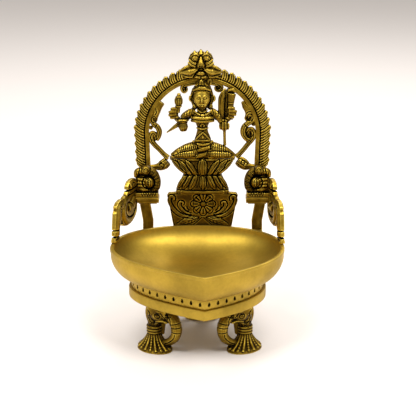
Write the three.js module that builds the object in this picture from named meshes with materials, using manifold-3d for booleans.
// A brass leaf-bowl oil lamp: a pointed bowl on a pierced gallery, a base plate and three curled legs,
// with an openwork back of pillars, capitals, water beasts, a flame arch and a seated figure on a lotus.
// Millimetres, +Z up, +X to the viewer's right, and the bowl's spout points along -Y.
import * as THREE from "three";
import { mergeVertices } from "three/addons/utils/BufferGeometryUtils.js";
import Module from "manifold-3d";

const wasm = await Module();
wasm.setup();

// Driving dimensions
const TOLERANCE = 0.06; // short edges left by a join are cleared to this
const GAP = 0.3; // brazed or resting faces stand this far apart
const LEG_HEIGHT = 35.5;
const PLATE_HEIGHT = 8;
const PLATE_WALL = 3.2;
const PLATE_SKIN = 2.4;
const BAND_HEIGHT = 7.2;
const BAND_WALL = 3;
const BOWL_HEIGHT = 23;
const BOWL_WALL = 3.2;
const BOWL_FLOOR = 3;
const RIM_HALF_WIDTH = 67.8;
const RIM_FRONT = 71; // spout tip ahead of the widest station
const RIM_BACK = 54; // back of the rim behind the widest station
const SPOUT_OFFSET = 4; // the spout leans a little to +X on this casting
const BOWL_SHIFT = -1.8; // the bowl's widest station sits a little to -X of the legs
const BACK_SHIFT = 2; // and the back a little to +X of them
const CREST_SHIFT = 0.9; // the crest sits less far over
const BOWL_INSET = 15.7; // how far the bowl draws in from rim to gallery
const FRONT_INSET_SHARE = 0.918; // of an inset, at the spout
const BACK_INSET_SHARE = 0.866; // and at the back
const GALLERY_INSET = BOWL_INSET + 0.6;
const PLATE_PROUD = 2.2; // the base plate stands this far outside the gallery
const PIERCING_PITCH = 7.6;
const PIERCING_WIDTH = 2.4;
const PIERCING_HEIGHT = 4;
const LUG_DEPTH = 6;
const LUG_HEIGHT = 10;
const TIE_SEAT = 1.8; // blind depth of the tie bolt's hole in the bowl's floor
const LUG_DROP = 4; // lug top below the rim
const BOARD = 4.6; // thickness of the straps, panel and arch
const PILLAR_WIDTH = 8.7;
const PILLAR_SPREAD = 47.4; // pillar centre from the axis, at the capital
const PILLAR_LEAN = 2.3; // the foot stands this much nearer the axis
const PILLAR_BOW = 1.6; // the straps bend this much towards the axis halfway up
const PILLAR_RISE = 20.2; // capital underside above the rim
const CAPITAL_SHIFT = 3.2; // capitals sit this much nearer the axis than the pillar tops
const CAPITAL_WIDTH = 18;
const CAPITAL_HEIGHT = 4.6;
const CAPITAL_DEPTH = 15;
const BEAST_HEIGHT = 27.2;
const BEAST_PLINTH = 2.2; // the beast's neck starts this far above the capital
const BEAST_DEPTH = 10;
const ARCH_RADIUS = 43.5; // inside of the rail
const ARCH_CENTRE_RISE = 76; // arch centre above the rim
const RAIL_WIDTH = 2.9;
const FLAME_LENGTH = 10.6;
const FLAME_PITCH = 7.1; // measured along the rail
const FLAME_LEAN = [0.18, 0.72]; // rise of a flame over its reach, at the top and on the arch's legs
const RAIL_LEAN = 0.035; // the arch's legs draw in by this share of their height
const PANEL_TOP_HALF = 28.9;
const PANEL_FOOT_HALF = 24.6;
const PANEL_RISE = 27.5; // panel top above the rim
const FLOWER_RADIUS = 9.8;
const LOTUS_HEIGHT = 29.3;
const LOTUS_TOP_HALF = 25.7;
const LOTUS_WAIST_HALF = 16.8;
const LOTUS_FOOT_HALF = 21.2;
const LOTUS_DEPTH = 13;
const LOTUS_LIP = 1; // the petals reach this far past the body's top edge
const FIGURE_HEIGHT = 64.8; // seat to the tip of the crown
const SCREW_RADIUS = 1.5;
const SCREW_HEAD_RADIUS = 3;
const SCREW_HEAD_HEIGHT = 1.8;
const SCREW_LENGTH = 9;
const TIE_RADIUS = 2.5;
const NUT_RADIUS = 4.6;
const NUT_HEIGHT = 3.4;
const NUT_RECESS = 2; // the nut's seat above the plate's lower edge
const BRACKET_START = PILLAR_SPREAD + 7.4; // where the bracket meets the beast
const BRACKET_FOOT_SPREAD = RIM_HALF_WIDTH - 1.1; // bracket's foot from the axis, on the rim
const BRACKET_FOOT_BACK = 4; // and behind the bowl's widest station
const BRACKET_HALF = 2.2; // half the bracket's thickness
const LEG_SPREAD = 30;
const LEG_FRONT = 22; // front legs ahead of the widest station
const LEG_REAR = 33; // rear leg behind the widest station

// Levels and depths that follow from them
const PLATE_Z = LEG_HEIGHT + GAP;
const BAND_Z = PLATE_Z + PLATE_HEIGHT + GAP;
const BOWL_Z = BAND_Z + BAND_HEIGHT + GAP;
const RIM_Z = BOWL_Z + BOWL_HEIGHT;
const LUG_Y = RIM_BACK + 1; // flat rear face of the lugs
const BOARD_Y = LUG_Y + GAP; // front face of every back casting
const BOARD_BACK = BOARD_Y + BOARD;
const SCREW_Z = RIM_Z - LUG_DROP - LUG_HEIGHT / 2;
const STRAP_FOOT_Z = RIM_Z - LUG_DROP - LUG_HEIGHT;
const CAPITAL_Z = RIM_Z + PILLAR_RISE;
const BEAST_Z = CAPITAL_Z + CAPITAL_HEIGHT + GAP;
const ARCH_CENTRE_Z = RIM_Z + ARCH_CENTRE_RISE;
const RAIL_MID = ARCH_RADIUS + RAIL_WIDTH / 2;
const PANEL_TOP_Z = RIM_Z + PANEL_RISE;
const LOTUS_Z = PANEL_TOP_Z + GAP;
const LOTUS_TOP_Z = LOTUS_Z + LOTUS_HEIGHT;
const SEAT_Z = LOTUS_TOP_Z + GAP;
const TIE_TOP_Z = SEAT_Z - 0.6; // the tie scroll ends here, the creeper's stem stands on it

const BRASS = 0xb9952f;
const AGED = 0x7d6218;

// Solids

function solid(geometry) {
  const bare = geometry.index ? geometry.toNonIndexed() : geometry.clone();
  bare.deleteAttribute("normal");
  bare.deleteAttribute("uv");
  const merged = mergeVertices(bare, 1e-4);
  return new wasm.Manifold(
    new wasm.Mesh({
      numProp: 3,
      vertProperties: merged.attributes.position.array,
      triVerts: new Uint32Array(merged.index.array),
    }),
  );
}

const joined = (...pieces) => pieces.flat().reduce((sum, piece) => sum.add(piece));

// The main body of a join, without pockets sealed inside it or crumbs left by a cut.
function mainBody(made) {
  const bodies = made.decompose();
  return bodies.reduce((most, body) => (body.volume() > most.volume() ? body : most));
}

function block([x0, x1], [y0, y1], [z0, z1]) {
  const box = new THREE.BoxGeometry(x1 - x0, y1 - y0, z1 - z0);
  return solid(box.translate((x0 + x1) / 2, (y0 + y1) / 2, (z0 + z1) / 2));
}

// An ellipsoid by its centre and half sizes.
function lump([x, y, z], [a, b, c], detail = 1) {
  return solid(new THREE.IcosahedronGeometry(1, detail).scale(a, b, c).translate(x, y, z));
}

// A closed tube through points, with a radius at each and a depth that is a share of the radius.
function stroke(points, radii, { sides = 5, steps = 2, depth = 1, face = [0, 1, 0] } = {}) {
  const curve = new THREE.CatmullRomCurve3(points.map((p) => new THREE.Vector3(...p)));
  const facing = new THREE.Vector3(...face);
  const rings = (points.length - 1) * steps;
  const position = [];
  for (let i = 0; i <= rings; i++) {
    const t = i / rings;
    const at = curve.getPoint(t);
    const along = curve.getTangent(t);
    const across = new THREE.Vector3().crossVectors(along, facing);
    if (across.length() < 0.2) across.set(1, 0, 0);
    across.normalize();
    const up = new THREE.Vector3().crossVectors(along, across).normalize();
    const place = t * (radii.length - 1);
    const k = Math.min(radii.length - 2, Math.floor(place));
    const r = THREE.MathUtils.lerp(radii[k], radii[k + 1], place - k);
    for (let s = 0; s < sides; s++) {
      const a = (2 * Math.PI * s) / sides;
      const p = at.clone().addScaledVector(across, r * Math.cos(a));
      p.addScaledVector(up, r * depth * Math.sin(a));
      position.push(p.x, p.y, p.z);
    }
  }
  return ringSolid(position, sides, rings + 1);
}

// A closed solid from stacked rings of points, capped at both ends.
function ringSolid(position, sides, rings) {
  const first = [0, 1, 2].map((k) => mean(position, k, 0, sides));
  const last = [0, 1, 2].map((k) => mean(position, k, sides * (rings - 1), sides));
  const low = position.length / 3;
  const all = [...position, ...first, ...last];
  const index = [];
  for (let i = 0; i < rings - 1; i++)
    for (let s = 0; s < sides; s++) {
      const a = i * sides + s;
      const b = i * sides + ((s + 1) % sides);
      index.push(a, b, a + sides, b, b + sides, a + sides);
    }
  for (let s = 0; s < sides; s++) {
    const t = (s + 1) % sides;
    index.push(low, t, s);
    index.push(low + 1, (rings - 1) * sides + s, (rings - 1) * sides + t);
  }
  const geometry = new THREE.BufferGeometry();
  geometry.setAttribute("position", new THREE.Float32BufferAttribute(all, 3));
  geometry.setIndex(index);
  const made = solid(geometry);
  if (made.volume() >= 0) return made;
  for (let i = 0; i < index.length; i += 3) [index[i], index[i + 1]] = [index[i + 1], index[i]];
  geometry.setIndex(index);
  return solid(geometry);
}

function mean(values, k, start, count) {
  let sum = 0;
  for (let i = 0; i < count; i++) sum += values[3 * (start + i) + k];
  return sum / count;
}

// A flat casting: an outline in X and Z, from one depth to another.
function slab(outline, y0, y1) {
  const shape = new THREE.Shape(outline.map(([x, z]) => new THREE.Vector2(x, z)));
  const geometry = new THREE.ExtrudeGeometry(shape, { depth: y1 - y0, bevelEnabled: false });
  return solid(geometry.rotateX(Math.PI / 2).translate(0, y1, 0));
}

function rodZ(radius, z0, z1, x, y, sides = 16) {
  const rod = new THREE.CylinderGeometry(radius, radius, z1 - z0, sides).rotateX(Math.PI / 2);
  return solid(rod.translate(x, y, (z0 + z1) / 2));
}

function rodY(radius, y0, y1, x, z, sides = 16) {
  const rod = new THREE.CylinderGeometry(radius, radius, y1 - y0, sides);
  return solid(rod.translate(x, (y0 + y1) / 2, z));
}

const mirrored = (points) => points.map(([x, y, z]) => [-x, y, z]);

// The leaf outline that the bowl, gallery and plate share, drawn in by an inset.
function leaf(inset, sides = 40) {
  const half = RIM_HALF_WIDTH - inset;
  const front = RIM_FRONT - inset * FRONT_INSET_SHARE;
  const back = RIM_BACK - inset * BACK_INSET_SHARE;
  const mid = BOWL_SHIFT;
  const tip = new THREE.Vector2(SPOUT_OFFSET, -front);
  const right = new THREE.Vector2(mid + half, 0);
  const left = new THREE.Vector2(mid - half, 0);
  const rear = new THREE.Vector2(mid, back);
  const bend = (a, b, c, d) => new THREE.CubicBezierCurve(a, b, c, d);
  const flank = 0.44 * front;
  const v = (x, y) => new THREE.Vector2(x, y);
  const curves = [
    bend(tip, v(SPOUT_OFFSET + 0.5 * half, -front + 0.26 * half), v(mid + half, -flank), right),
    bend(right, v(mid + half, 0.62 * back), v(mid + 0.62 * half, back), rear),
    bend(rear, v(mid - 0.62 * half, back), v(mid - half, 0.62 * back), left),
    bend(left, v(mid - half, -flank), v(SPOUT_OFFSET - 0.5 * half, -front + 0.26 * half), tip),
  ];
  const each = sides / curves.length;
  const points = [];
  for (const c of curves)
    for (let i = 0; i < each; i++) points.push(c.getPoint(i / each));
  return points;
}

// A leaf-shaped body through levels of inset and height.
function leafBody(levels, sides = 40) {
  const position = [];
  for (const [inset, z] of levels)
    for (const p of leaf(inset, sides)) position.push(p.x, p.y, z);
  return ringSolid(position, sides, levels.length);
}

// The bowl, gallery and plate

function bowlProfile(offset) {
  const levels = [];
  const steps = 6;
  for (let i = 0; i <= steps; i++) {
    const t = (i / steps) * (Math.PI / 2);
    levels.push([BOWL_INSET * (1 - Math.sin(t)) + offset, BOWL_Z + BOWL_HEIGHT * (1 - Math.cos(t))]);
  }
  return levels;
}

function basinProfile() {
  const floor = BOWL_Z + BOWL_FLOOR;
  const levels = [];
  const steps = 7;
  for (let i = 0; i <= steps; i++) {
    const t = (i / steps) * (Math.PI / 2);
    const inset = BOWL_WALL + (RIM_FRONT * 0.56) * (1 - Math.sin(t));
    levels.push([inset, floor + (RIM_Z - floor) * (1 - Math.cos(t))]);
  }
  levels.push([BOWL_WALL, RIM_Z + 1]);
  return levels;
}

// Lug centres and widths, and the screws, both from the middle of the back.
const LUGS = [
  [-PILLAR_SPREAD + PILLAR_LEAN, PILLAR_WIDTH * 0.9],
  [0, PANEL_FOOT_HALF * 1.5],
  [PILLAR_SPREAD - PILLAR_LEAN, PILLAR_WIDTH * 0.9],
];
const SCREW_XS = [
  -PILLAR_SPREAD + PILLAR_LEAN,
  -PANEL_FOOT_HALF / 2,
  PANEL_FOOT_HALF / 2,
  PILLAR_SPREAD - PILLAR_LEAN,
];

function makeBowl() {
  const outer = leafBody(bowlProfile(0));
  const basin = leafBody(basinProfile());
  const top = RIM_Z - LUG_DROP;
  const lugs = LUGS.map(([x, width]) =>
    block(
      [x - width / 2, x + width / 2].map((edge) => edge + BACK_SHIFT),
      [RIM_BACK - 3 * LUG_DEPTH, LUG_Y],
      [top - LUG_HEIGHT, top],
    ),
  );
  const holes = SCREW_XS.map((x) =>
    rodY(SCREW_RADIUS + GAP, LUG_Y - LUG_DEPTH, LUG_Y + 1, x + BACK_SHIFT, SCREW_Z),
  );
  const tie = rodZ(TIE_RADIUS + GAP, BOWL_Z - 1, BOWL_Z + TIE_SEAT, 0, 0);
  return joined(outer, lugs).subtract(basin).subtract(joined(holes)).subtract(tie);
}

function makeGallery() {
  const wall = leafBody([[GALLERY_INSET, BAND_Z], [GALLERY_INSET, BAND_Z + BAND_HEIGHT]]);
  const inner = GALLERY_INSET + BAND_WALL;
  const hollow = leafBody([[inner, BAND_Z - 1], [inner, BAND_Z + BAND_HEIGHT + 1]]);
  const ring = wall.subtract(hollow);
  return ring.subtract(joined(piercings(GALLERY_INSET)));
}

// Drop-shaped piercings around the gallery, square to its wall.
function piercings(inset) {
  const outline = leaf(inset, 96);
  const lengths = outline.map((p, i) => p.distanceTo(outline[(i + 1) % outline.length]));
  const total = lengths.reduce((a, b) => a + b);
  const count = Math.round(total / PIERCING_PITCH);
  const drop = new THREE.Shape([
    new THREE.Vector2(0, PIERCING_HEIGHT / 2),
    new THREE.Vector2(-PIERCING_WIDTH / 2, -PIERCING_HEIGHT / 6),
    new THREE.Vector2(0, -PIERCING_HEIGHT / 2),
    new THREE.Vector2(PIERCING_WIDTH / 2, -PIERCING_HEIGHT / 6),
  ]);
  const made = [];
  for (let n = 0; n < count; n++) {
    let rest = ((n + 0.5) / count) * total;
    let i = 0;
    while (rest > lengths[i]) rest -= lengths[i++];
    const a = outline[i];
    const b = outline[(i + 1) % outline.length];
    const p = a.clone().lerp(b, rest / lengths[i]);
    const heading = Math.atan2(b.y - a.y, b.x - a.x);
    const cutter = new THREE.ExtrudeGeometry(drop, { depth: 2 * BAND_WALL, bevelEnabled: false });
    cutter.translate(0, 0, -BAND_WALL - 1).rotateX(Math.PI / 2).rotateZ(heading);
    made.push(solid(cutter.translate(p.x, p.y, BAND_Z + BAND_HEIGHT / 2)));
  }
  return made;
}

function makePlate() {
  const edge = GALLERY_INSET - PLATE_PROUD;
  const body = leafBody([[edge, PLATE_Z], [edge, PLATE_Z + PLATE_HEIGHT]]);
  const inner = edge + PLATE_WALL;
  const top = PLATE_Z + PLATE_HEIGHT;
  const under = leafBody([[inner, PLATE_Z - 1], [inner, top - PLATE_SKIN]]);
  const pads = LEG_PLACES.map(([x, y]) => rodZ(LEG_PAD_RADIUS, PLATE_Z, top - 1, x, y, 20));
  const pad = rodZ(NUT_RADIUS + 3, PLATE_Z + NUT_RECESS, top - 1, 0, 0, 20);
  const holes = LEG_PLACES.map(([x, y]) => rodZ(SCREW_RADIUS + GAP, PLATE_Z - 1, top + 1, x, y));
  const tie = rodZ(TIE_RADIUS + GAP, PLATE_Z - 1, top + 1, 0, 0);
  return joined(body.subtract(under), pads, pad).subtract(joined(holes)).subtract(tie);
}

function makeTieBolt() {
  const top = BOWL_Z + TIE_SEAT - GAP;
  return rodZ(TIE_RADIUS, PLATE_Z - 2 * NUT_HEIGHT, top, 0, 0);
}

function makeTieNut() {
  const top = PLATE_Z + NUT_RECESS - GAP;
  return rodZ(NUT_RADIUS, top - NUT_HEIGHT, top, 0, 0, 6).subtract(rodZ(TIE_RADIUS + GAP, 0, RIM_Z, 0, 0));
}

// The legs

const LEG_PAD_RADIUS = 7;
// The foot's middle from the leg's own axis and its half width and half depth, at the ankle and the sole.
const ANKLE = [-5, -2, 4.6, 4.2];
const SOLE = [-1.5, -5.8, 14, 10.4];
const LEG_PLACES = [[-LEG_SPREAD, -LEG_FRONT], [LEG_SPREAD, -LEG_FRONT], [0, LEG_REAR]];
const LEG_TURNS = [-0.55, 0.55, Math.PI];
const LEG_NAMES = ["front_left", "front_right", "rear"];

// A leg in its own frame: it faces -Y, and its trunk curls down at +X or, turned over, at -X.
function makeLeg(side) {
  const h = LEG_HEIGHT;
  const bend = (points) => points.map(([x, y, z]) => [side * x, y, z]);
  const shaft = stroke(
    bend([[-4.2, -0.5, h - 4], [-5, -1.5, h * 0.56], [-4.9, -1.9, h * 0.3]]),
    [6.6, 5.4, 4.8],
    { sides: 8, steps: 1 },
  );
  const head = lump([side * 1.4, -1.4, h * 0.795], [10, 7.8, 6.4], 1);
  const back = stroke(
    bend([[0.5, 2.5, h * 0.76], [-1, 2.5, h * 0.56], [-2, 1, h * 0.3]]),
    [4.8, 3.8, 4.2],
    { sides: 6, steps: 1 },
  );
  const crown = rodZ(LEG_PAD_RADIUS, h - 5, h, 0, 0, 16);
  const trunk = stroke(
    bend([
      [4, -2, h * 0.8], [12.4, -2.6, h * 0.76], [16.4, -3, h * 0.575],
      [15.2, -3, h * 0.36], [9.6, -3, h * 0.2], [3, -3, h * 0.12],
    ]),
    [4.8, 4.8, 4.6, 4, 3.3, 2.8],
    { sides: 6, steps: 2 },
  );
  const ear = stroke(
    bend([[-6, 1.5, h - 3.5], [-12.2, 2, h * 0.856], [-13.4, 2, h * 0.65], [-9.2, 1.4, h * 0.42]]),
    [2.6, 2.3, 2, 2],
    { sides: 6, steps: 2 },
  );
  const collar = [0.475, 0.4].map((z) => lump([side * -5, -1.8, h * z], [6.2, 5.6, 1.7], 1));
  const flutes = 24;
  const position = [];
  for (const [share, z] of [[0, h * 0.36], [0.12, h * 0.28], [0.42, h * 0.15], [0.9, h * 0.05], [1, 0]])
    for (let i = 0; i < flutes; i++) {
      const a = side * (2 * Math.PI * i) / flutes;
      const swell = 1 + (i % 4 < 2 ? 0.03 : -0.06) * (z ? 1 : 0);
      const [cx, cy, rx, ry] = ANKLE.map((size, k) => THREE.MathUtils.lerp(size, SOLE[k], share));
      position.push(side * (cx + rx * swell * Math.cos(a)), cy + ry * swell * Math.sin(a) * side, z);
    }
  const foot = ringSolid(position, flutes, 5);
  const whole = joined(shaft, head, back, crown, trunk, ear, collar, foot);
  const ground = block([-40, 40], [-40, 40], [-20, 0]);
  const above = block([-40, 40], [-40, 40], [h, h + 20]);
  const hole = rodZ(SCREW_RADIUS + GAP, h - SCREW_LENGTH, h + 1, 0, 0);
  return whole.subtract(ground).subtract(above).subtract(hole);
}

function makeLegScrew([x, y]) {
  const seat = PLATE_Z + PLATE_HEIGHT + 0.05;
  const shank = rodZ(SCREW_RADIUS, LEG_HEIGHT - SCREW_LENGTH + GAP, seat + 0.5, x, y);
  return shank.add(rodZ(SCREW_HEAD_RADIUS, seat, seat + SCREW_HEAD_HEIGHT, x, y));
}

// The back castings

function makePillar(side) {
  const top = CAPITAL_Z - GAP;
  const half = PILLAR_WIDTH / 2;
  const low = side * (PILLAR_SPREAD - PILLAR_LEAN);
  const high = side * PILLAR_SPREAD;
  const bow = side * PILLAR_BOW;
  const mid = (STRAP_FOOT_Z + top) / 2;
  const outline = [
    [low - half, STRAP_FOOT_Z], [low + half, STRAP_FOOT_Z], [(low + high) / 2 + half - bow, mid],
    [high + half, top - 2], [high + half - 1, top], [high - half + 1, top], [high - half, top - 2],
    [(low + high) / 2 - half - bow, mid],
  ];
  const strap = slab(outline, BOARD_Y, BOARD_BACK);
  return strap.subtract(rodY(SCREW_RADIUS + GAP, BOARD_Y - 1, BOARD_BACK + 1, low, SCREW_Z));
}

function makeBackScrew(x) {
  const shank = rodY(SCREW_RADIUS, LUG_Y - LUG_DEPTH + GAP, BOARD_BACK + 1, x, SCREW_Z, 12);
  const head = rodY(SCREW_HEAD_RADIUS, BOARD_BACK + 0.05, BOARD_BACK + SCREW_HEAD_HEIGHT, x, SCREW_Z, 16);
  return shank.add(head);
}

function makeCapital(side) {
  const x = side * (PILLAR_SPREAD - CAPITAL_SHIFT);
  const half = CAPITAL_WIDTH / 2;
  const front = BOARD_BACK - CAPITAL_DEPTH;
  const step = CAPITAL_HEIGHT * 0.36;
  const low = half * 0.8;
  const upper = block(
    [x - half, x + half],
    [front, BOARD_BACK],
    [CAPITAL_Z + step, CAPITAL_Z + CAPITAL_HEIGHT],
  );
  const below = block([x - low, x + low], [front + 2, BOARD_BACK], [CAPITAL_Z, CAPITAL_Z + step + 0.2]);
  return upper.add(below);
}

// The water beast: a scaled neck curled round a striped pearl held in its jaws, with a rosette on its brow.
function makeBeast(side) {
  const x = PILLAR_SPREAD - 2.6;
  const z = BEAST_Z + BEAST_PLINTH;
  const y = BOARD_Y - GAP - BEAST_DEPTH / 2 - 1;
  const at = (points) => points.map(([a, b, d = 0]) => [side * (x + a), y - d, z + b]);
  const curl = stroke(
    at([[2.4, 21.1], [-2.2, 20.7], [-6.2, 17.5], [-8.2, 12.1], [-7.8, 6.7], [-4.6, 3.4]]),
    [2.3, 3, 3.3, 3.4, 3.3, 2.8],
    { sides: 8, steps: 2, depth: 1.3 },
  );
  const chin = stroke(
    at([[-6, 3], [0, 3.9], [5.6, 3.7]]),
    [2.5, 2.3, 1.9],
    { sides: 6, steps: 1, depth: 1.3 },
  );
  const base = block([side * x - 8.8, side * x + 8.8], [y - 5, y + 5], [BEAST_Z, z + 2.8]);
  const pearl = lump([side * (x - 1.4), y - 2.3, z + 11.3], [4.6, 4.6, 4.6], 1);
  const jaws = [14.4, 12.1, 9.8, 7.5].map((h) =>
    stroke(at([[0.6, h, 3.6], [7, h + 0.5, 3.2]]), [1.2, 0.95], { steps: 1 }),
  );
  const brow = stroke(
    at([[-0.8, 19.1], [4.6, 19.9], [8, 18.7], [8.8, 14.7]]),
    [2.4, 2.8, 2.5, 1.5],
    { sides: 7, depth: 1.3 },
  );
  const rosette = rodY(3, y - 6, y - 1, side * (x + 0.4), z + 22, 14);
  const stem = rodY(1.6, y - 3, y + BEAST_DEPTH / 2 + 1, side * (x + 0.4), z + 19.5, 10);
  const web = lump([side * (x + 0.6), y + 2, z + 10.2], [10, 3.6, 10.6], 1);
  const whole = joined(curl, chin, base, pearl, jaws, brow, rosette, stem, web);
  const behind = block([-90, 90], [BOARD_Y - GAP, BOARD_Y + 30], [z - 5, z + 40]);
  const under = block([-90, 90], [0, 90], [BEAST_Z - 20, BEAST_Z]);
  const edge = BRACKET_START - GAP;
  const outside = block(side > 0 ? [edge, 120] : [-120, -edge], [0, 90], [z, z + 90]);
  return whole.subtract(behind).subtract(under).subtract(outside);
}

// The arch: a plain rail whose legs stand on the capitals, bordered by ribbed flames.
function railPoint(s) {
  const quarter = (Math.PI / 2) * RAIL_MID;
  if (s <= quarter) {
    const a = s / RAIL_MID;
    const [nx, nz] = [Math.sin(a), Math.cos(a)];
    return { x: RAIL_MID * nx, z: ARCH_CENTRE_Z + RAIL_MID * nz, nx, nz };
  }
  const down = s - quarter;
  return { x: RAIL_MID - down * RAIL_LEAN, z: ARCH_CENTRE_Z - down, nx: 1, nz: 0 };
}

function makeArch() {
  const footZ = BEAST_Z;
  const outer = [];
  const inner = [];
  const bottom = (Math.PI / 2) * RAIL_MID + ARCH_CENTRE_Z - footZ;
  const steps = 22;
  for (let i = -steps; i <= steps; i++) {
    const s = (Math.abs(i) / steps) * bottom;
    const p = railPoint(s);
    const sign = Math.sign(i) || 1;
    outer.push([sign * (p.x + p.nx * (RAIL_WIDTH / 2 + 1.4)), p.z + p.nz * (RAIL_WIDTH / 2 + 1.4)]);
    inner.push([sign * (p.x - p.nx * RAIL_WIDTH / 2), p.z - p.nz * RAIL_WIDTH / 2]);
  }
  const rail = slab([...outer, ...inner.reverse()], BOARD_Y, BOARD_BACK);
  const flames = [];
  const first = CREST_HALF + 3;
  const last = bottom - (BEAST_HEIGHT - 5);
  const count = Math.round((last - first) / FLAME_PITCH);
  for (let i = 0; i <= count; i++) {
    const s = first + ((last - first) * i) / count;
    const p = railPoint(s);
    const reach = RAIL_WIDTH / 2 + FLAME_LENGTH;
    const lean = THREE.MathUtils.mapLinear(THREE.MathUtils.clamp(s, 26, 76), 26, 76, ...FLAME_LEAN);
    for (const side of [-1, 1]) {
      const mid = BOARD_Y + BOARD * 0.5;
      const place = (out, along) => [
        side * (p.x + p.nx * out - p.nz * along),
        mid,
        p.z + p.nz * out + p.nx * along,
      ];
      const root = place(0.5, 0);
      const belly = place(reach * 0.62, lean * reach * 0.5);
      const tip = place(reach - 1, lean * reach);
      flames.push(stroke([root, belly, tip], [3.4, 3.9, 2.3], { sides: 6, depth: 0.58 }));
    }
  }
  return joined(rail, flames);
}

// The crest: a lion mask with swept cheeks, eyes, nose and curling whisker leaves.
const CREST_HALF = 13;

function makeCrest() {
  const z = ARCH_CENTRE_Z + ARCH_RADIUS + RAIL_WIDTH;
  const y = BOARD_Y - GAP - 3.4;
  const form = (points, radii, options = {}) =>
    stroke(
      points.map(([a, b, d]) => [a, y - d, z + b]),
      radii,
      { sides: 5, steps: 2, depth: 0.9, ...options },
    );
  const pair = (points, radii, options) =>
    [1, -1].map((s) => form(points.map(([a, ...rest]) => [s * a, ...rest]), radii, options));
  const mask = lump([0, y - 0.5, z + 14.3], [9.7, 2.9, 7.8], 1);
  const crown = lump([0, y - 0.4, z + 18.8], [6.6, 2.4, 4.6], 1);
  const chin = form([[-9, 5.9, -0.7], [0, 4.2, -0.7], [9, 5.9, -0.7]], [3.2, 5.2, 3.2], { depth: 0.44 });
  const lobes = pair([[4.6, 19.9, 0.4], [5, 22.6, -0.2]], [2.6, 1.2], { steps: 1 });
  const top = form([[0, 20.1, 0.6], [0, 23.6, 0.2]], [2.8, 0.9], { steps: 1 });
  const brows = pair([[1.7, 18.4, 2.4], [4.5, 20.7, 2.8], [7.4, 18.2, 2.2]], [0.9, 1.3, 1]);
  const eyes = [1, -1].map((s) => lump([s * 4.4, y - 2.2, z + 16.8], [2.5, 2.1, 2.2], 1));
  const nose = form([[0, 17.7, 2], [0, 14.7, 3.4], [0, 11.3, 4]], [0.9, 1.6, 2.4]);
  const cheeks = pair([[6, 13.7, 1.8], [9.3, 16.3, 1.2]], [1.6, 1.5], { steps: 1 });
  const jowls = pair([[5.2, 12.2, 1.4], [8.6, 12.6, 0.8]], [2.5, 2.4], { steps: 1 });
  const whiskers = pair([[4.4, 8.2, 1.6], [9, 5.3, 2], [15.2, 4.3, 0.6]], [1, 2.9, 0.9]);
  const wings = pair([[8.4, 10.3, 0.6], [12.6, 9.3, 0.6], [16.2, 6.9, 0.2]], [1.4, 1.8, 0.6]);
  const under = pair([[5, 1.8, 0.4], [10.4, 0.9, 0.6], [15.2, 2.7, 0.2]], [1.4, 1.7, 0.7]);
  const tongue = lump([0, y - 1.6, z + 4.6], [3.2, 2.4, 1.8], 1);
  const features = [brows, eyes, nose, cheeks, jowls, whiskers, wings, under, tongue].flat();
  const whole = joined(mask, crown, chin, lobes, top, features);
  const finial = block([-4, 7], [0, 90], [z - 20, SEAT_Z + FIGURE_HEIGHT + GAP]);
  const behind = block([-60, 60], [BOARD_Y - GAP, BOARD_Y + 30], [z - 40, z + 60]);
  return whole.subtract(behind).subtract(finial);
}

// The plinth panel, with its flower, scrolls and leaves in low relief.
function makePanel() {
  const top = PANEL_TOP_Z;
  const shoulder = top - 3;
  const outline = [
    [-PANEL_FOOT_HALF, STRAP_FOOT_Z], [PANEL_FOOT_HALF, STRAP_FOOT_Z], [PANEL_TOP_HALF - 1, shoulder - 4],
    [PANEL_TOP_HALF, shoulder], [PANEL_TOP_HALF - 1.6, shoulder + 1.6], [10, top], [-10, top],
    [-PANEL_TOP_HALF + 1.6, shoulder + 1.6], [-PANEL_TOP_HALF, shoulder], [-PANEL_TOP_HALF + 1, shoulder - 4],
  ];
  const board = slab(outline, BOARD_Y, BOARD_BACK);
  const y = BOARD_Y;
  const centre = top - FLOWER_RADIUS;
  const petals = [];
  const count = 8;
  for (let i = 0; i < count; i++) {
    const a = ((i + 0.5) / count) * 2 * Math.PI;
    const reach = (r) => [r * Math.sin(a), y, centre + r * Math.cos(a)];
    const points = [reach(2), reach(6.4), reach(FLOWER_RADIUS - 0.6)];
    petals.push(stroke(points, [1, 3, 2.2], { sides: 6, depth: 0.4 }));
  }
  const eye = lump([0, y - 0.4, centre], [2.4, 1.6, 2.4], 1);
  const relief = [];
  for (const s of [-1, 1]) {
    const at = (points) => points.map(([x, z]) => [s * x, y, centre + z]);
    const scroll = [[9, -9.5], [17, -6], [23.5, 1], [25, 6], [21.5, 7]];
    relief.push(stroke(at(scroll), [0.6, 2, 2.4, 1.6, 1], { sides: 6, depth: 0.5 }));
    const curl = [[10, -7.5], [15, -4.5], [17, 0], [14.5, 3]];
    relief.push(stroke(at(curl), [0.6, 1.4, 1.6, 1], { sides: 6, depth: 0.5 }));
    relief.push(stroke(at([[4, -10.5], [11, -14], [18, -18]]), [1, 3, 0.6], { sides: 6, depth: 0.3 }));
  }
  const holes = SCREW_XS.slice(1, 3).map((x) =>
    rodY(SCREW_RADIUS + GAP, BOARD_Y - 4, BOARD_BACK + 1, x, SCREW_Z),
  );
  const whole = joined(board, petals, eye, relief);
  const fore = block([-60, 60], [0, BOARD_Y], [0, RIM_Z + 0.5]);
  return whole.subtract(fore).subtract(joined(holes));
}

// Where each side petal of the lotus stands at the waist, and how far it reaches above and below.
const PETALS = [[4.6, 13.6, 8.4], [10, 20.2, 13.8], [14.6, 24, 18.8]];

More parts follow.
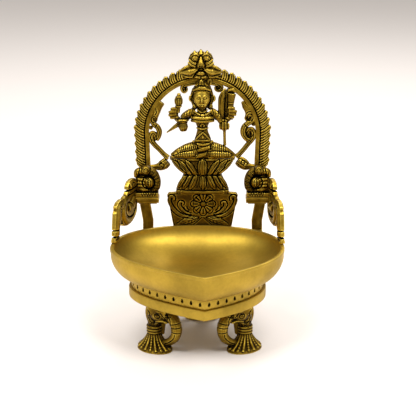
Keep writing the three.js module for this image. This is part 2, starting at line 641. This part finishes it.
// The double lotus: a waisted body wrapped in upright petals above and hanging petals below.
function makeLotus() {
  const waist = LOTUS_Z + LOTUS_HEIGHT * 0.535;
  const ledge = LOTUS_Z + 2;
  const top = LOTUS_TOP_Z;
  const front = BOARD_BACK - LOTUS_DEPTH + 4;
  // Narrower layers stand further forward, so that the front is rounded.
  const layers = [0, 0.4, 0.8].map((share) => {
    const k = 1 - 0.32 * share * share;
    const half = [
      [LOTUS_FOOT_HALF, LOTUS_Z], [LOTUS_FOOT_HALF, ledge],
      [LOTUS_WAIST_HALF, waist - 2], [LOTUS_WAIST_HALF - 0.8, waist], [LOTUS_WAIST_HALF, waist + 2],
      [LOTUS_TOP_HALF - LOTUS_LIP, top - 2], [LOTUS_TOP_HALF - LOTUS_LIP, top],
    ].map(([x, z]) => [x * k, z]);
    const outline = [...half, ...half.map(([x, z]) => [-x, z]).reverse()];
    return slab(outline, front - 2.4 * share, share ? front + 3 : BOARD_BACK);
  });
  const face = (x) => front - 2.3 + 2.9 * (x / LOTUS_TOP_HALF) ** 2;
  const petals = [];
  const petal = (xs, zs, radii) =>
    petals.push(stroke(xs.map((x, k) => [x, face(x), zs[k]]), radii, { sides: 6, depth: 0.72 }));
  petal([0, 0, 0], [waist + 1, waist + 8, top], [2.2, 4, 0.8]);
  petal([0, 0, 0], [waist - 1, waist - 6, ledge + 0.8], [1.6, 3.2, 0.8]);
  for (const [foot, rise, drop] of PETALS)
    for (const side of [-1, 1]) {
      const above = [foot, 0.55 * foot + 0.45 * rise, rise].map((x) => side * x);
      const below = [foot, 0.6 * foot + 0.4 * drop, drop].map((x) => side * x);
      petal(above, [waist + 1, waist + 6.6, top - 1], [1.7, 2.6, 1]);
      petal(below, [waist - 1, waist - 6.4, ledge + 0.8], [1.5, 2.5, 0.9]);
    }
  const whole = joined(layers, petals);
  const above = block([-60, 60], [0, 90], [LOTUS_TOP_Z, LOTUS_TOP_Z + 30]);
  const below = block([-60, 60], [0, 90], [LOTUS_Z - 30, LOTUS_Z]);
  return whole.subtract(above).subtract(below);
}

// The seated figure, crowned, with four arms that hold a bud, a cup, a staff and a goad.
function makeFigure() {
  const z = SEAT_Z;
  const y = BOARD_BACK - 6.5;
  const at = (points) => points.map(([a, b, d = 0]) => [a, y - d, z + b]);
  const limb = (points, radii, options) => stroke(at(points), radii, options);
  const round = (a, b, d, sizes, detail = 1) => lump([a, y - d, z + b], sizes, detail);
  const seat = [
    limb(
      [[-4.5, 12.6], [-12.5, 9.8, 0.5], [-19.5, 6, 0.5], [-25.4, 1.9, 0.3]],
      [4.1, 3.9, 3.1, 1.6],
      { sides: 7, steps: 1 },
    ),
    limb(
      [[5, 12.6], [11, 11, 0.5], [17.6, 9.4, 0.5], [22.6, 5.8, 0.5], [26.6, 2, 0.3]],
      [4.1, 3.8, 3.4, 2.8, 1.6],
      { sides: 7, steps: 1 },
    ),
    limb([[-22, 2.4, 2.2], [-14, 3.5, 3], [-6, 4.8, 3.2]], [2.3, 3.2, 3], { sides: 7, steps: 1 }),
    limb([[5.6, 3.4, 3.2], [13, 3.8, 3.2], [23, 2.7, 2.2]], [2.9, 3.2, 2.2], { sides: 7, steps: 1 }),
    limb([[-3.8, 6.7, 5.2], [1, 8.4, 5.8], [5.8, 9.7, 5]], [1.3, 1.8, 1.4], { steps: 1 }),
    limb([[-6, 1.7, 5.2], [-1, 3.2, 6], [3.8, 4.8, 5.2]], [1.5, 1.9, 1.5], { steps: 1 }),
    round(0.5, 5.6, 1, [15.8, 4.6, 6.6], 1),
  ];
  const hips = round(0.2, 11.5, 1, [8.4, 4.9, 4.6], 1);
  const torso = limb(
    [[0.3, 10], [0.3, 16], [0.1, 20.4], [0.1, 24.6], [0, 28.6], [0, 32.6], [0, 36.6]],
    [8, 6.6, 5, 4.1, 5.7, 7.9, 7.5],
    { sides: 10, depth: 0.76, steps: 1 },
  );
  const bands = [[33.6, 9.6, 5.6], [30.9, 9.2, 5.2]].map(([h, half, d]) =>
    limb(
      [[-half, h, 2.2], [-half * 0.56, h, d - 1], [0.1, h, d], [half * 0.56, h, d - 1], [half, h, 2.2]],
      [1.2, 1.4, 1.5, 1.4, 1.2],
      { steps: 1 },
    ),
  );
  const belt = limb([[-7.8, 14.4, 2.8], [0.3, 11.6, 5.4], [8.4, 14.4, 2.8]], [1.1, 1.3, 1.1], { steps: 2 });
  const apron = limb([[0.3, 21, 3.6], [0.3, 15.4, 4.4]], [1, 4.4], { sides: 3, steps: 1, depth: 0.3 });
  const neck = limb([[-0.2, 36, 0.2], [-0.4, 43, 0.6]], [4.5, 3.8], { sides: 8, steps: 1 });
  const breast = [-3.6, 3.8].map((x) => round(x, 35.4, 2.6, [3.7, 2.5, 2.9]));
  const collar = limb([[-6.6, 39, 3.6], [0.2, 35.6, 5.4], [7, 39, 3.6]], [0.8, 0.9, 0.8], { steps: 2 });
  const head = [
    round(-0.4, 49.4, 2.3, [6.1, 5, 7.4], 2),
    round(-0.2, 49, -0.6, [8.8, 3.8, 8.2]),
    round(-0.4, 45.4, 3.2, [4, 3.8, 3.6]),
  ];
  const nose = limb([[-0.4, 50.9, 7], [-0.4, 47.2, 8.2]], [0.5, 1], { steps: 1 });
  const ears = [-6.3, 6.5].map((x) => round(x, 43.4, 1.9, [1.9, 1.6, 2.1]));
  const cap = [round(-0.3, 52.8, 0.8, [7.6, 5, 6.8]), round(-0.5, 60.2, 0.8, [4.4, 3.4, 2.2])];
  const band = limb([[-6.6, 53.6, 3.2], [-0.4, 58.4, 5], [6, 53.6, 3.2]], [1, 1.2, 1], { steps: 2 });
  const finial = limb(
    [[-0.8, 60, 0.8], [-0.8, 62, 0.8], [-0.8, FIGURE_HEIGHT, 0.8]],
    [2.2, 2.8, 0.6],
    { sides: 7, steps: 2 },
  );
  const arms = [
    limb(
      [[-5.8, 37.8, 0.8], [-9.8, 37.2, 1.6], [-13.8, 35.2, 2.4], [-16, 33, 2.8]],
      [3.3, 3.1, 2.7, 2.3],
      { sides: 7, steps: 1 },
    ),
    limb(
      [[-10, 33.6, -0.5], [-16.4, 30.6], [-20, 31.6, 0.2], [-21.6, 35.2, 0.4]],
      [2.1, 2.1, 2.2, 2.5],
      { sides: 6, steps: 2 },
    ),
    limb(
      [[6.4, 38.4, 0.8], [10, 36.6, 1.6], [12.8, 33.6, 2.2], [14.8, 30, 2.4]],
      [3.3, 3.1, 2.7, 2.4],
      { sides: 7, steps: 1 },
    ),
    limb(
      [[9, 33.6, -0.5], [15.4, 31, -0.4], [19.8, 31], [22, 35, 0.4]],
      [2.2, 2.2, 2.2, 2.6],
      { sides: 6, steps: 2 },
    ),
  ];
  const hands = [
    round(-22.2, 37, 0.4, [3.4, 2.4, 4.1]),
    round(22.6, 37.8, 0.4, [3.6, 2.4, 4.2]),
    round(17.4, 26.4, 1.4, [4.5, 3.6, 4.4]),
  ];
  const fingers = [[-1, 0], [1, 0.6]].flatMap(([s, lift]) =>
    [[39.8, 25.4], [37.6, 27.2], [35.4, 27.4], [33.2, 25.8]].map(([h, reach]) =>
      limb([[s * 20.8, h + lift, 1.6], [s * reach, h + lift, 1.8]], [1.3, 0.9], { steps: 1 }),
    ),
  );
  const bud = limb(
    [[-19.3, 37, 1], [-18.9, 42, 0.6], [-18.8, 46.6, 0.6], [-18.6, 52.6, 0.6]],
    [1.6, 2.6, 3.5, 1.3],
    { sides: 7, steps: 2 },
  );
  const pot = [
    limb([[-15, 22.4, 2.4], [-15.2, 25.6, 2.6], [-15.6, 30.4, 2.6]], [2.8, 4.2, 4], { sides: 10, steps: 1 }),
    round(-15.8, 31.6, 2.9, [5.6, 4.2, 1.8]),
  ];
  const dart = limb([[-17.2, 29, 1.2], [-23, 24.9, 1.4], [-28.6, 20.8, 1.2]], [2.2, 1.5, 0.6], { steps: 1 });
  const staff = limb([[18, 9.6, 0.5], [17.6, 24, 1]], [1.5, 1.5], { sides: 6, steps: 1 });
  const blade = limb(
    [[15, 30.5, 1.6], [14.9, 40, 1.8], [15.2, 48.4, 1.8], [16.6, 53, 1.6], [18.3, 56.8, 1.4]],
    [2.3, 2.7, 2.8, 2.2, 0.7],
    { sides: 6, steps: 1, depth: 0.6 },
  );
  const rod = limb([[18.9, 30], [18.9, 44], [19.6, 54.2]], [1, 1, 0.9], { steps: 1 });
  const axe = limb(
    [[22.2, 41, 0.6], [22.6, 44.6, 0.8], [22.9, 48.4, 0.8], [23.5, 55, 0.8]],
    [2.2, 2.8, 3.2, 3.6],
    { sides: 6, steps: 1, depth: 0.6 },
  );
  const whole = joined(
    seat, hips, torso, bands, belt, apron, neck, breast, collar, head, nose, ears, cap, band, finial,
    arms, hands, fingers, bud, pot, dart, staff, blade, rod, axe,
  );
  const below = block([-60, 60], [0, 90], [z - 30, z]);
  const behind = block([-60, 60], [BOARD_BACK, 120], [z - 30, z + 90]);
  const railTop = ARCH_CENTRE_Z + ARCH_RADIUS - GAP;
  const rail = block([-60, 60], [BOARD_Y - GAP, 120], [railTop, railTop + 30]);
  return whole.subtract(below).subtract(behind).subtract(rail);
}

// Openwork scrolls inside the arch

function makeCreeper(side) {
  const y = (BOARD_Y + BOARD_BACK) / 2;
  const z = ARCH_CENTRE_Z;
  const band = (points, radii, options = {}) =>
    stroke(points.map(([x, b]) => [side * x, y, z + b]), radii, { sides: 5, steps: 2, depth: 1, ...options });
  const blade = band([[32.8, 27.3], [34.3, 21.8], [36.2, 16.6]], [1.9, 2.4, 2.5]);
  const sweep = band(
    [[36.2, 16.6], [39.4, 16.8], [41.2, 13.8], [39, 9.9], [34.8, 6.4], [32.9, 2.8], [33.4, -1], [36, -4.2]],
    [2, 2, 2, 1.9, 1.9, 2, 2, 1.8],
  );
  const eyes = [[38, 13.2, 2.4], [38, -0.2, 4.4]].map(([x, b, r]) =>
    lump([side * x, y, z + b], [r, 1.5, r], 1),
  );
  const stem = band(
    [[41.6, 3], [42, -1.2], [39.8, -5.2], [34.6, -10.4], [30.8, -14.8], [26.4, -19.6]],
    [1.9, 2, 1.9, 1.8, 1.8, 2.2],
  );
  const whole = joined(blade, sweep, eyes, stem);
  const edge = LOTUS_TOP_HALF - LOTUS_LIP + GAP;
  const under = block([-90, 90], [0, 90], [z - 90, TIE_TOP_Z + GAP]);
  return clearOfArch(whole).subtract(under).subtract(block([-edge, edge], [0, 90], [z - 90, SEAT_Z + 12]));
}

// Cuts a casting back to the inside of the arch, less the brazing gap.
function clearOfArch(piece) {
  const rounds = 40;
  const ring = new THREE.Shape();
  ring.absarc(0, 0, 90, 0, 2 * Math.PI);
  const bore = new THREE.Path();
  bore.absarc(0, 0, ARCH_RADIUS - GAP, 0, 2 * Math.PI);
  ring.holes.push(bore);
  const geometry = new THREE.ExtrudeGeometry(ring, { depth: 60, bevelEnabled: false, curveSegments: rounds });
  const upper = solid(geometry.rotateX(Math.PI / 2).translate(0, BOARD_Y + 30, ARCH_CENTRE_Z));
  const lower = block([-120, 120], [0, 120], [-40, ARCH_CENTRE_Z - 1]);
  const lean = (ARCH_CENTRE_Z - BEAST_Z) * RAIL_LEAN;
  const legs = [-1, 1].map((s) => {
    const x = s * (ARCH_RADIUS - GAP - 0.2);
    const top = ARCH_CENTRE_Z + 1;
    const outline = [[x, top], [s * 100, top], [s * 100, BEAST_Z - 60], [x - s * lean * 1.9, BEAST_Z - 60]];
    return slab(outline, BOARD_Y - 20, BOARD_BACK + 10);
  });
  return piece.subtract(upper.subtract(lower)).subtract(joined(legs));
}

function makeCrownHook(side) {
  const y = (BOARD_Y + BOARD_BACK) / 2 - 0.6;
  const z = ARCH_CENTRE_Z + ARCH_RADIUS;
  const at = (points) => points.map(([x, b]) => [side * x, y, z + b]);
  const hook = stroke(
    at([[7, -1.6], [11.4, -1.9], [16.6, -3.6], [17, -6.8], [14.4, -8.9], [11.5, -7.8], [11.3, -5.5]]),
    [1.5, 1.5, 1.8, 1.8, 1.7, 1.5, 1.2],
    { sides: 6, steps: 2, depth: 1.1 },
  );
  return clearOfArch(hook).subtract(block([-5, 5], [0, 90], [z - 20, z + 10]));
}

// The short scroll that ties each beast's brow to the lotus.
function makeTieScroll(side) {
  const y = (BOARD_Y + BOARD_BACK) / 2;
  const z = SEAT_Z - 5;
  const at = (points) => points.map(([x, b]) => [side * x, y, z + b]);
  const arm = stroke(
    at([[25.6, 3], [28.4, -0.8], [32.4, -4], [37.6, -5.4], [43.4, -4.6]]),
    [2.2, 2.6, 2.7, 2.6, 2.6],
    { sides: 6, depth: 0.8 },
  );
  const curl = stroke(
    at([[27.2, 3.2], [31, 3.4], [34.4, 1.8], [35.4, -0.8], [33.4, -2.2]]),
    [1.5, 1.6, 1.7, 1.6, 1.8],
    { sides: 6, steps: 1 },
  );
  const whole = arm.add(curl);
  const lotus = LOTUS_TOP_HALF - LOTUS_LIP + GAP;
  const over = block([-90, 90], [0, 90], [TIE_TOP_Z, TIE_TOP_Z + 20]);
  return clearOfArch(whole).subtract(over).subtract(block([-lotus, lotus], [0, 90], [z - 30, z + 5.2]));
}

// A side bracket: an openwork scroll that runs from the beast forward and down to the bowl's rim.
function makeBracket(side) {
  const start = new THREE.Vector2(BRACKET_START, BOARD_Y - 6);
  const end = new THREE.Vector2(BRACKET_FOOT_SPREAD + side * (BOWL_SHIFT - BACK_SHIFT), BRACKET_FOOT_BACK);
  const length = start.distanceTo(end);
  const heading = Math.atan2(end.y - start.y, end.x - start.x);
  const foot = RIM_Z + GAP;
  const plate = (outline, half) => {
    const shape = new THREE.Shape(outline.map(([u, b]) => new THREE.Vector2(side * u, foot + b)));
    const geometry = new THREE.ExtrudeGeometry(shape, { depth: 2 * half, bevelEnabled: false });
    geometry.rotateX(Math.PI / 2).translate(0, half, 0).rotateZ(side * heading);
    return solid(geometry.translate(side * start.x, start.y, 0));
  };
  const at = (points) =>
    points.map(([u, b]) => {
      const p = start.clone().lerp(end, u / length);
      return [side * p.x, p.y, foot + b];
    });
  const face = [side * (start.y - end.y), end.x - start.x, 0].map((v) => v / length);
  const swell = (points, radii) => stroke(
    at(points),
    radii,
    { sides: 6, steps: 1, depth: BRACKET_HALF / 2.9, face },
  );
  const lobe = plate(BRACKET_LOBE, BRACKET_HALF * 0.8);
  const strap = plate(BRACKET_STRAP, BRACKET_HALF * 0.86);
  const knuckle = swell([[2.6, 39.5], [9, 40.7], [14.8, 38.9]], [3.1, 3.4, 3.1]);
  const fist = swell([[2, 32.9], [16, 32.9]], [2.9, 2.9]);
  const belly = swell([[25, 26], [25.4, 19], [21, 12.7], [13, 10.9], [6, 14.5]], [3.1, 3.2, 3.1, 3, 2.8]);
  const spine = swell([[30, 29], [36, 27], [38.4, 21], [40.4, 11], [41.4, 3]], [2.7, 3, 3, 3, 3.2]);
  const whole = joined(lobe, strap, knuckle, fist, belly, spine);
  const under = block([-120, 120], [-90, 120], [foot - 40, foot]);
  const beast = block([-BRACKET_START, BRACKET_START], [20, 120], [foot + 20, foot + 80]);
  return whole.subtract(under).subtract(beast);
}

// The bracket's outlines: distance from the beast towards the spout, and height above the rim.
const BRACKET_LOBE = [
  [-1, 29], [-1, 37], [0.6, 42.4], [3.4, 44.2], [9, 44.8], [14.6, 43.8], [17.8, 40.4], [18.6, 36.7],
  [17, 35.7], [18.9, 34.8], [19.2, 31], [18, 30], [27, 29.6], [31.4, 25], [31.6, 18], [30.6, 12.4],
  [27, 8.6], [20, 6.8], [13, 6.8], [7, 9], [2.6, 12.4], [0.3, 17], [-0.6, 23],
];
const BRACKET_STRAP = [
  [24.4, 30.4], [31, 32], [37, 31], [41, 28.4], [40.4, 25.6], [42.6, 23], [44, 14], [45, 5.6], [44, 4.7],
  [45.4, 3.8], [45.6, 0], [36.6, 0], [36.8, 3.8], [37.6, 4.7], [36.6, 5.6], [34.6, 11], [31.4, 16], [28, 22],
];

// The scene graph

const polished = () => new THREE.MeshStandardMaterial({ color: BRASS, roughness: 0.32, metalness: 1 });
const patinated = () => new THREE.MeshStandardMaterial({ color: AGED, roughness: 0.45, metalness: 1 });

const lamp = new THREE.Group();

function add(name, made, material, place = [0, 0, 0], turn = 0) {
  const { numProp, vertProperties, triVerts } = mainBody(mainBody(made).simplify(TOLERANCE)).getMesh();
  const position = new Float32Array((vertProperties.length / numProp) * 3);
  for (let i = 0; i < position.length / 3; i++)
    for (let k = 0; k < 3; k++) position[3 * i + k] = vertProperties[numProp * i + k];
  const geometry = new THREE.BufferGeometry();
  geometry.setAttribute("position", new THREE.BufferAttribute(position, 3));
  geometry.setIndex(new THREE.BufferAttribute(new Uint32Array(triVerts), 1));
  const mesh = new THREE.Mesh(geometry.toNonIndexed(), material);
  mesh.geometry.computeVertexNormals();
  mesh.name = name;
  mesh.position.set(...place);
  mesh.rotation.z = turn;
  lamp.add(mesh);
}

add("oil_bowl", makeBowl(), polished());
add("pierced_gallery", makeGallery(), polished());
add("base_plate", makePlate(), polished());
add("tie_bolt", makeTieBolt(), polished());
add("tie_nut", makeTieNut(), polished());
LEG_NAMES.forEach((name, i) => {
  const [x, y] = LEG_PLACES[i];
  add(`${name}_leg`, makeLeg(i === 1 ? -1 : 1), patinated(), [x, y, 0], LEG_TURNS[i]);
  add(`${name}_leg_screw`, makeLegScrew(LEG_PLACES[i]), polished());
});
const back = [BACK_SHIFT, 0, 0];
for (const [name, side] of [["left", -1], ["right", 1]]) {
  add(`${name}_pillar`, makePillar(side), patinated(), back);
  add(`${name}_capital`, makeCapital(side), patinated(), back);
  add(`${name}_water_beast`, makeBeast(side), patinated(), back);
  add(`${name}_creeper`, makeCreeper(side), patinated(), back);
  add(`${name}_crown_hook`, makeCrownHook(side), patinated(), back);
  add(`${name}_tie_scroll`, makeTieScroll(side), patinated(), back);
  add(`${name}_bracket`, makeBracket(side), patinated(), back);
}
["left_pillar", "left_panel", "right_panel", "right_pillar"].forEach((name, i) => {
  add(`${name}_screw`, makeBackScrew(SCREW_XS[i]), polished(), back);
});
add("flame_arch", makeArch(), patinated(), back);
add("lion_mask_crest", makeCrest(), patinated(), [CREST_SHIFT, 0, 0]);
add("plinth_panel", makePanel(), patinated(), back);
add("double_lotus", makeLotus(), patinated(), back);
add("seated_figure", makeFigure(), patinated(), back);

// The frame's origin is the middle of the lamp's footprint, on the ground.
const extent = new THREE.Box3().setFromObject(lamp);
lamp.position.set(-(extent.min.x + extent.max.x) / 2, -(extent.min.y + extent.max.y) / 2, -extent.min.z);

export default lamp;
